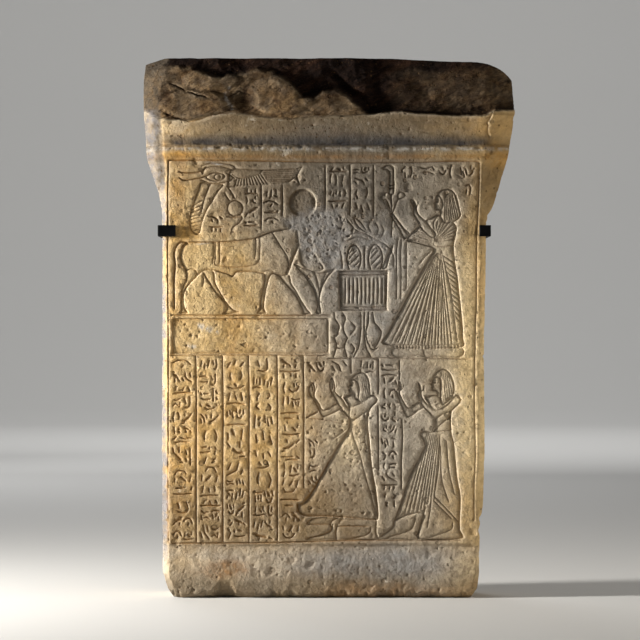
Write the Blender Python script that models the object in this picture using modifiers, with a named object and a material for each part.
"""A limestone stele with a broken cavetto cornice, and the two steel clips that grip it.

Units are metres. The carved face looks along -Y, +X is to the right seen from the front, +Z is up.
The underside is at z = 0 and the whole object is centred on the Z axis.
Outlines of the carving are given in millimetres, as (x, z) points on the face.
"""

import math

import bmesh
import bpy
from mathutils import Matrix, Vector, noise

MM = 0.001

# Driving dimensions of the stone.
HEIGHT = 0.675
SLAB = 0.095
CORNICE_OUT = 0.016
BACK_ROUNDING = 0.008
FOOT_ROUNDING = 0.006

# Driving dimensions of the steel clips.
STRAP = 0.004
GAP = 0.0003
CLIP_LOW = 0.452
CLIP_HIGH = 0.466
LEFT_TAB_REACH = 0.018
RIGHT_TAB_REACH = 0.010
PAD_REACH = 0.060
STRAP_ROUNDING = 0.0006

# Depth positions, so that the stone and the clips' wall pads together are centred on y = 0.
DEPTH = SLAB + CORNICE_OUT + GAP + STRAP
FACE_Y = -DEPTH / 2 + CORNICE_OUT
BACK_Y = FACE_Y + SLAB

# Levels of the mouldings, from the field of carving up to the broken top.
BAND_LOW = 0.547
BAND_HIGH = 0.565
HOLLOW_LOW = 0.571
HOLLOW_HIGH = 0.603
BAND_SWELL = 0.003
GROOVE_DEEP = 0.006
BREAK_STEP = 0.008
BREAK_LEAN = 0.024
BREAK_ROUGH = 0.005

# The worn top corners: the right one is rounded over, the left one dips.
CORNER_START = 0.176
CORNER_BREADTH = 0.057
CORNER_DROP = 0.039
DIP_START = -0.205
DIP_SLOPE = 0.27
BROW = 0.600

# Depths of the carving.
LINE_WIDE = 0.0022
LINE_DEEP = 0.0016
FIGURE_DEEP = 0.0030
TABLE_DEEP = 0.0024

# Outer edges of the stone, as (height, half-breadth) pairs in millimetres, read upwards.
LEFT_EDGE = ((0, 196), (12, 203), (32, 209), (190, 210), (450, 209), (485, 210.5), (505, 214),
             (528, 222), (550, 230), (590, 232.5), (625, 233), (675, 230))
RIGHT_EDGE = ((0, 180), (12, 187), (32, 189), (90, 190), (118, 194), (190, 196), (300, 195),
              (400, 197), (470, 198), (494, 208), (550, 225), (585, 230.5), (612, 233), (675, 230))

# Half-breadth of the carved face between its two arrises.
LEFT_ARRIS = ((0, 190), (30, 201), (300, 202), (540, 201), (570, 204), (600, 206), (675, 200))
RIGHT_ARRIS = ((0, 174), (30, 184), (300, 188), (540, 190), (572, 198), (600, 200), (675, 196))

# How far behind the face the sides begin, beyond each arris.
LEFT_SETBACK = ((0, 10), (450, 7), (490, 9), (545, 24), (600, 26), (675, 20))
RIGHT_SETBACK = ((0, 10), (450, 8), (490, 12), (545, 22), (600, 22), (675, 20))


def along(pairs, height):
    """Blends the second numbers of (height, value) pairs, all in millimetres, into metres."""
    level = height / MM
    for (low, start), (high, end) in zip(pairs, pairs[1:]):
        if level <= high:
            share = max(0.0, (level - low) / (high - low))
            return (start + (end - start) * share) * MM
    return pairs[-1][1] * MM


def spaced(start, end, count):
    """Evenly spaced numbers, both ends included."""
    return [start + (end - start) * step / (count - 1) for step in range(count)]


def top_height(x):
    """The stone's top: level, dipping a little at the left corner and rounding over at the right."""
    if x > CORNER_START:
        share = min(1.0, (x - CORNER_START) / CORNER_BREADTH)
        return HEIGHT - CORNER_DROP * (1.0 - math.sqrt(1.0 - share * share))
    if x < DIP_START:
        return HEIGHT + (x - DIP_START) * DIP_SLOPE
    return HEIGHT


def break_height(x):
    """Where the smooth hollow of the cornice ends and the break begins."""
    wave = 0.004 * math.sin(x * 41.0 + 1.0) + 0.003 * math.sin(x * 83.0)
    scallop = 0.012 * math.exp(-((x - 0.008) / 0.024) ** 2)
    return HOLLOW_HIGH - 0.003 + wave + scallop


def moulding(height):
    """How far the intact face stands forward at this height."""
    if height < BAND_LOW:
        return 0.0
    if height < BAND_HIGH:
        return BAND_SWELL * math.sin(math.pi * (height - BAND_LOW) / (BAND_HIGH - BAND_LOW))
    if height < HOLLOW_LOW:
        return -GROOVE_DEEP * math.sin(math.pi * (height - BAND_HIGH) / (HOLLOW_LOW - BAND_HIGH))
    turn = min(1.0, (height - HOLLOW_LOW) / (HOLLOW_HIGH - HOLLOW_LOW)) * math.pi / 2
    return CORNICE_OUT * (1.0 - math.cos(turn)) ** 0.8


def front_y(x, height):
    """Depth position of the front of the stone, before the figures are cut."""
    start = break_height(x)
    if height <= start:
        return FACE_Y - moulding(height)
    share = (height - start) / (HEIGHT - start)
    step = BREAK_STEP * min(1.0, (height - start) / 0.007)
    rough = BREAK_ROUGH * noise.noise(Vector((x * 28.0, height * 46.0, 3.0)))
    return FACE_Y - CORNICE_OUT + step + BREAK_LEAN * share + rough * min(1.0, 6 * share)


def side_wear(height, depth_share, seed):
    """How far the side is worn in, nothing where the clips grip it."""
    near_clip = min(1.0, abs(height - (CLIP_LOW + CLIP_HIGH) / 2) / 0.06)
    wear = noise.noise(Vector((height * 17.0, depth_share * 3.0, seed)))
    return 0.0022 * near_clip * (wear + 1.0) / 2


def stone_point(u, v, w):
    """Carries a point of the unit block (each share from 0 to 1) to its place on the stone."""
    height = w * HEIGHT
    left, right = -along(LEFT_EDGE, height), along(RIGHT_EDGE, height)
    if v == 0:
        x = -along(LEFT_ARRIS, height) * (1 - u) + along(RIGHT_ARRIS, height) * u
        y = front_y(x, height)
    else:
        inset = BACK_ROUNDING if v == 1 else 0.0
        left += inset + side_wear(height, v, 1.0) * (v > 0.3)
        right -= inset + side_wear(height, v, 2.0) * (v > 0.3)
        x = left * (1 - u) + right * u
        setback = along(LEFT_SETBACK, height) * (1 - u) + along(RIGHT_SETBACK, height) * u
        start = FACE_Y + setback
        y = start + (BACK_Y - BACK_ROUNDING - start) * (v - LAYERS[0]) / (LAYERS[-1] - LAYERS[0])
        if v == 1:
            y = BACK_Y
    if height > BROW:
        height = BROW + (height - BROW) * (top_height(x) - BROW) / (HEIGHT - BROW)
        height -= 0.004 * (w == 1) * (noise.noise(Vector((x * 20.0, y * 40.0, 8.0))) + 0.6) * (0 < u < 1)
    if w == 0:
        y = max(FACE_Y + FOOT_ROUNDING, min(BACK_Y - FOOT_ROUNDING, y))
    return Vector((x, y, min(height, HEIGHT)))


COLUMNS = [0.03, 0.08] + spaced(0.14, 0.86, 11) + [0.91, 0.95, 0.98]
LAYERS = [0.2, 0.45, 0.7, 0.9]
LEVELS = sorted([0.004, 0.012, 0.025, 0.07, 0.11] + spaced(0.17, 0.44, 6) + spaced(0.47, BAND_LOW, 7)
                + spaced(BAND_LOW, BAND_HIGH, 5)[1:] + [0.568] + spaced(HOLLOW_LOW, HOLLOW_HIGH, 6)
                + spaced(0.608, 0.670, 10))


def stone_block(name):
    """The uncut stone: a cube cut into columns, layers and levels, each point carried to its place."""
    block = bmesh.new()
    bmesh.ops.create_cube(block, size=1.0, matrix=Matrix.Translation((0.5, 0.5, 0.5)))
    stations = (COLUMNS, LAYERS, [level / HEIGHT for level in LEVELS])
    for axis, cuts in enumerate(stations):
        normal = Vector([1.0 if axis == other else 0.0 for other in range(3)])
        for cut in cuts:
            everything = block.verts[:] + block.edges[:] + block.faces[:]
            bmesh.ops.bisect_plane(block, geom=everything, plane_co=normal * cut, plane_no=normal)
    for vertex in block.verts:
        shares = []
        for share, cuts in zip(vertex.co, stations):
            shares.append(min([0.0, 1.0] + cuts, key=lambda cut: abs(cut - share)))
        vertex.co = stone_point(*shares)
    bmesh.ops.triangulate(block, faces=block.faces[:])
    bmesh.ops.recalc_face_normals(block, faces=block.faces[:])
    mesh = bpy.data.meshes.new(name)
    block.to_mesh(mesh)
    block.free()
    return bpy.data.objects.new(name, mesh)


def as_cutter(cutter):
    """Hides a cutter and keeps it in its own collection."""
    cutter.hide_render = True
    cutter.display_type = "WIRE"
    CUTTERS.objects.link(cutter)
    return cutter


def box_cutter(name, x_low, z_low, x_high, z_high, deep):
    """A box that cuts a rectangle, in millimetres on the face, to the depth given in metres."""
    size = Vector(((x_high - x_low) * MM, 2 * deep, (z_high - z_low) * MM))
    place = Vector(((x_low + x_high) / 2 * MM, FACE_Y, (z_low + z_high) / 2 * MM))
    box = bmesh.new()
    bmesh.ops.create_cube(box, size=1.0, matrix=Matrix.Translation(place) @ Matrix.Diagonal(size).to_4x4())
    mesh = bpy.data.meshes.new(name)
    box.to_mesh(mesh)
    box.free()
    return as_cutter(bpy.data.objects.new(name, mesh))


def disc_cutter(name, x, z, radius, deep):
    """A round cutter, in millimetres on the face."""
    place = Matrix.Translation((x * MM, FACE_Y, z * MM)) @ Matrix.Rotation(math.pi / 2, 4, "X")
    disc = bmesh.new()
    bmesh.ops.create_cone(disc, cap_ends=True, segments=28, radius1=radius * MM, radius2=radius * MM,
                          depth=2 * deep, matrix=place)
    mesh = bpy.data.meshes.new(name)
    disc.to_mesh(mesh)
    disc.free()
    return as_cutter(bpy.data.objects.new(name, mesh))


def outline_cutter(name, points, deep, smooth=2):
    """A flat outline through points in millimetres, thickened so that it cuts to the depth given."""
    flat = bpy.data.curves.new(name, "CURVE")
    flat.dimensions = "2D"
    flat.fill_mode = "BOTH"
    flat.extrude = deep
    flat.resolution_u = smooth
    path = flat.splines.new("BEZIER")
    path.bezier_points.add(len(points) - 1)
    for knot, (x, z) in zip(path.bezier_points, points):
        knot.co = (x * MM, z * MM, 0.0)
        knot.handle_left_type = "AUTO"
        knot.handle_right_type = "AUTO"
    path.use_cyclic_u = True
    guide = bpy.data.objects.new(name + "_guide", flat)
    bpy.context.scene.collection.objects.link(guide)
    bpy.context.view_layer.update()
    mesh = bpy.data.meshes.new_from_object(guide.evaluated_get(bpy.context.evaluated_depsgraph_get()))
    bpy.data.objects.remove(guide)
    mesh.transform(Matrix.Translation((0.0, FACE_Y, 0.0)) @ Matrix.Rotation(math.pi / 2, 4, "X"))
    solid = bmesh.new()
    solid.from_mesh(mesh)
    bmesh.ops.remove_doubles(solid, verts=solid.verts[:], dist=0.00001)
    bmesh.ops.recalc_face_normals(solid, faces=solid.faces[:])
    solid.to_mesh(mesh)
    solid.free()
    return as_cutter(bpy.data.objects.new(name, mesh))


# Outlines of the sunk figures, in millimetres.
BULL = ((-160, 446), (-120, 447), (-92, 451), (-68, 459), (-50, 463), (-36, 465), (-22, 452), (-14, 432),
        (-6, 412), (-20, 407), (-38, 409), (-47, 408), (-50, 398), (-40, 383), (-22, 356), (-33, 356),
        (-44, 378), (-58, 396), (-71, 404), (-77, 390), (-80, 357), (-90, 357), (-84, 380), (-83, 404),
        (-104, 408), (-122, 402), (-144, 408), (-138, 388), (-125, 368), (-111, 357), (-133, 356),
        (-142, 380), (-152, 394), (-161, 405), (-177, 389), (-180, 372), (-176, 356), (-188, 356),
        (-185, 378), (-180, 396), (-180, 409), (-187, 426), (-184, 441))
TAIL = ((-183, 447), (-191, 442), (-195, 428), (-193.5, 412), (-195, 395), (-194.5, 362), (-191.5, 362),
        (-191.5, 395), (-190.5, 412), (-191, 428), (-188.5, 439))
WINGS = ((-161, 519), (-166, 503), (-173, 485), (-173, 460), (-164, 453), (-156, 470), (-146, 494),
         (-133, 512), (-100, 516), (-58, 518), (-41, 523), (-34, 519), (-34, 538), (-70, 536), (-118, 538),
         (-122, 527), (-136, 532), (-152, 528))
OFFERINGS = ((12, 412), (17, 428), (17, 449), (16, 468), (25, 472), (44, 462), (62, 452), (78, 440),
             (80, 412))
STAFF = ((76, 449), (76, 478), (76, 503), (74, 515), (75, 537), (82, 537), (82, 515), (80, 503),
         (79.5, 478), (79, 449))
JARS = ((8, 356), (10, 338), (6, 326), (10, 313), (7, 302), (52, 302), (58, 314), (66, 327), (62, 340),
        (58, 356))
WORSHIPPER = ((147, 512), (138, 510), (132, 503), (130, 494), (132, 486), (137, 481), (128, 477),
              (119, 474), (113, 480), (110, 490), (106, 499), (102, 498), (106, 486), (106, 478),
              (111, 467), (101, 456), (94, 462), (87, 472), (81, 481), (76, 477), (84, 464), (93, 449),
              (112, 442), (129, 436), (119, 416), (100, 382), (80, 345), (66, 318), (83, 309),
              (120, 307), (171, 309), (168, 341), (164, 380), (160, 410), (157, 441), (158, 457),
              (163, 472), (165, 486), (160, 501), (155, 509))
BOWING_MAN = ((42, 282.5), (32, 281), (25, 274), (24, 265), (28, 257), (25, 253), (17, 251), (9, 258),
              (8, 269), (4, 276), (1, 268), (2, 259), (8, 245), (-5, 236), (-11, 247), (-17, 261),
              (-22, 269), (-26, 262), (-22, 250), (-14, 235), (-27, 226), (-6, 221), (24, 212), (13, 195),
              (-9, 155), (-22, 133), (-38, 116), (-37, 105), (-28, 98), (-28, 75), (15, 74), (60, 75),
              (61, 100), (58, 135), (53, 175), (50, 220), (53, 236), (62, 246), (59, 252), (53, 256),
              (52, 266), (49, 277))
STANDING_WOMAN = ((144, 286.5), (134, 283), (127, 271), (129, 262), (134, 257), (128, 250), (118, 253),
                  (116, 263), (111, 270), (109, 258), (114, 246), (99, 239), (92, 254), (90, 268),
                  (86, 269), (85, 256), (95, 229), (101, 226), (118, 237), (131, 225), (131, 210),
                  (117, 209), (113, 203), (119, 190), (112, 178), (102, 158), (90, 122), (80, 97),
                  (66, 80), (80, 75), (164, 75), (165, 125), (161, 150), (157, 190), (154, 219),
                  (155, 234), (165, 246), (163, 253), (157, 256), (157, 266), (153, 279))

# Straight incised lines, as (name, x_low, z_low, x_high, z_high) in millimetres.
WIDE = LINE_WIDE / MM
FRAME_LINES = (("frame_left", -203, 75, -203 + WIDE, 544), ("frame_right", 183.5, 95, 183.5 + WIDE, 540),
               ("frame_top", -199, 545, 186, 545 + WIDE), ("register_ground", 74, 298.5, 172, 298.5 + WIDE),
               ("base_line", -194, 68.5, 165, 68.5 + WIDE), ("bull_ground", -193, 353, -2, 353 + WIDE))
SEPARATORS = (-165.8, -132.5, -99.9, -64.3)
LABEL_LINES = ((-4.5, 483), (26.5, 480), (56, 480))
LOWER_LABEL_LINES = ((63.5, 110, 296), (90, 137, 274))

CUTTERS = None


def carve(stone):
    """Cuts the incised lines, the sunk band, the offering table and the figures into the face."""
    cutters = []
    for name, x_low, z_low, x_high, z_high in FRAME_LINES:
        cutters.append(box_cutter(name, x_low, z_low, x_high, z_high, LINE_DEEP))
    for number, x in enumerate(SEPARATORS, 1):
        cutters.append(box_cutter(f"column_{number}", x - WIDE / 2, 74, x + WIDE / 2, 300, LINE_DEEP))
    cutters.append(box_cutter("column_5", -31.7 - WIDE / 2, 138, -31.7 + WIDE / 2, 300, LINE_DEEP))
    for number, (x, z_low) in enumerate(LABEL_LINES, 1):
        cutters.append(box_cutter(f"label_{number}", x - WIDE / 2, z_low, x + WIDE / 2, 541, LINE_DEEP))
    for number, (x, z_low, z_high) in enumerate(LOWER_LABEL_LINES, 1):
        name = f"label_low_{number}"
        cutters.append(box_cutter(name, x - WIDE / 2, z_low, x + WIDE / 2, z_high, LINE_DEEP))
    cutters.append(box_cutter("sunk_band", -193.5, 303, 0, 349, TABLE_DEEP))
    cutters.append(box_cutter("table_top", 11, 402, 75, 408, TABLE_DEEP))
    cutters.append(box_cutter("table_rail", 12, 360, 74, 365, TABLE_DEEP))
    for number, x in enumerate(spaced(14, 72, 12), 1):
        cutters.append(box_cutter(f"table_bar_{number}", x - 1.1, 368, x + 1.1, 399, TABLE_DEEP))
    cutters.append(disc_cutter("sun_disc", -33, 494, 17.5, FIGURE_DEEP))
    for name, outline in (("bull", BULL), ("tail", TAIL), ("wings", WINGS), ("offerings", OFFERINGS),
                          ("staff", STAFF), ("jars", JARS), ("worshipper", WORSHIPPER),
                          ("bowing_man", BOWING_MAN), ("standing_woman", STANDING_WOMAN)):
        cutters.append(outline_cutter(name, outline, FIGURE_DEEP))
    for cutter in cutters:
        cut = stone.modifiers.new(cutter.name, "BOOLEAN")
        cut.operation = "DIFFERENCE"
        cut.solver = "EXACT"
        cut.object = cutter


def steel_clip(name, side, tab_reach):
    """A strap bent round the stone: a tab on the face, a run along the side and a pad behind."""
    edge = LEFT_EDGE if side < 0 else RIGHT_EDGE
    levels = spaced(CLIP_LOW, CLIP_HIGH, 5)
    stone_side = max(along(edge, level) for level in levels)
    inner = stone_side + GAP
    corners = ((stone_side - tab_reach, FACE_Y - GAP), (inner, FACE_Y - GAP),
               (inner, BACK_Y + GAP), (stone_side - PAD_REACH, BACK_Y + GAP))
    strip = bmesh.new()
    path = [strip.verts.new((side * x, y, CLIP_LOW)) for x, y in corners]
    edges = [strip.edges.new(pair) for pair in zip(path, path[1:])]
    raised = bmesh.ops.extrude_edge_only(strip, edges=edges)["geom"]
    bmesh.ops.translate(strip, vec=(0, 0, CLIP_HIGH - CLIP_LOW),
                        verts=[item for item in raised if isinstance(item, bmesh.types.BMVert)])
    bmesh.ops.recalc_face_normals(strip, faces=strip.faces[:])
    mesh = bpy.data.meshes.new(name)
    strip.to_mesh(mesh)
    strip.free()
    clip = bpy.data.objects.new(name, mesh)
    outward = sum(face.normal.x * side for face in mesh.polygons) > 0
    thick = clip.modifiers.new("thickness", "SOLIDIFY")
    thick.thickness = STRAP
    thick.offset = 1.0 if outward else -1.0
    thick.use_even_offset = True
    rounding = clip.modifiers.new("rounding", "BEVEL")
    rounding.width = STRAP_ROUNDING
    rounding.segments = 1
    rounding.limit_method = "ANGLE"
    return clip


def finish(name, color, roughness, metallic):
    """A plain Principled material."""
    material = bpy.data.materials.new(name)
    material.use_nodes = True
    shader = material.node_tree.nodes["Principled BSDF"]
    shader.inputs["Base Color"].default_value = (*color, 1.0)
    shader.inputs["Roughness"].default_value = roughness
    shader.inputs["Metallic"].default_value = metallic
    material.diffuse_color = (*color, 1.0)
    return material


def clear_scene():
    """Removes whatever the file opened with."""
    for thing in list(bpy.data.objects):
        bpy.data.objects.remove(thing)


def new_collection(name):
    collection = bpy.data.collections.new(name)
    bpy.context.scene.collection.children.link(collection)
    return collection


def main():
    global CUTTERS
    clear_scene()
    parts = new_collection("carved_stone_stele")
    CUTTERS = new_collection("cutters")
    limestone = finish("limestone", (0.55, 0.42, 0.25), 0.85, 0.0)
    steel = finish("black_steel", (0.012, 0.012, 0.013), 0.45, 0.3)

    stele = stone_block("stele")
    carve(stele)
    stele.data.materials.append(limestone)
    parts.objects.link(stele)

    for name, side, tab_reach in (("left_clip", -1, LEFT_TAB_REACH), ("right_clip", 1, RIGHT_TAB_REACH)):
        clip = steel_clip(name, side, tab_reach)
        clip.data.materials.append(steel)
        parts.objects.link(clip)
    bpy.context.view_layer.update()


main()
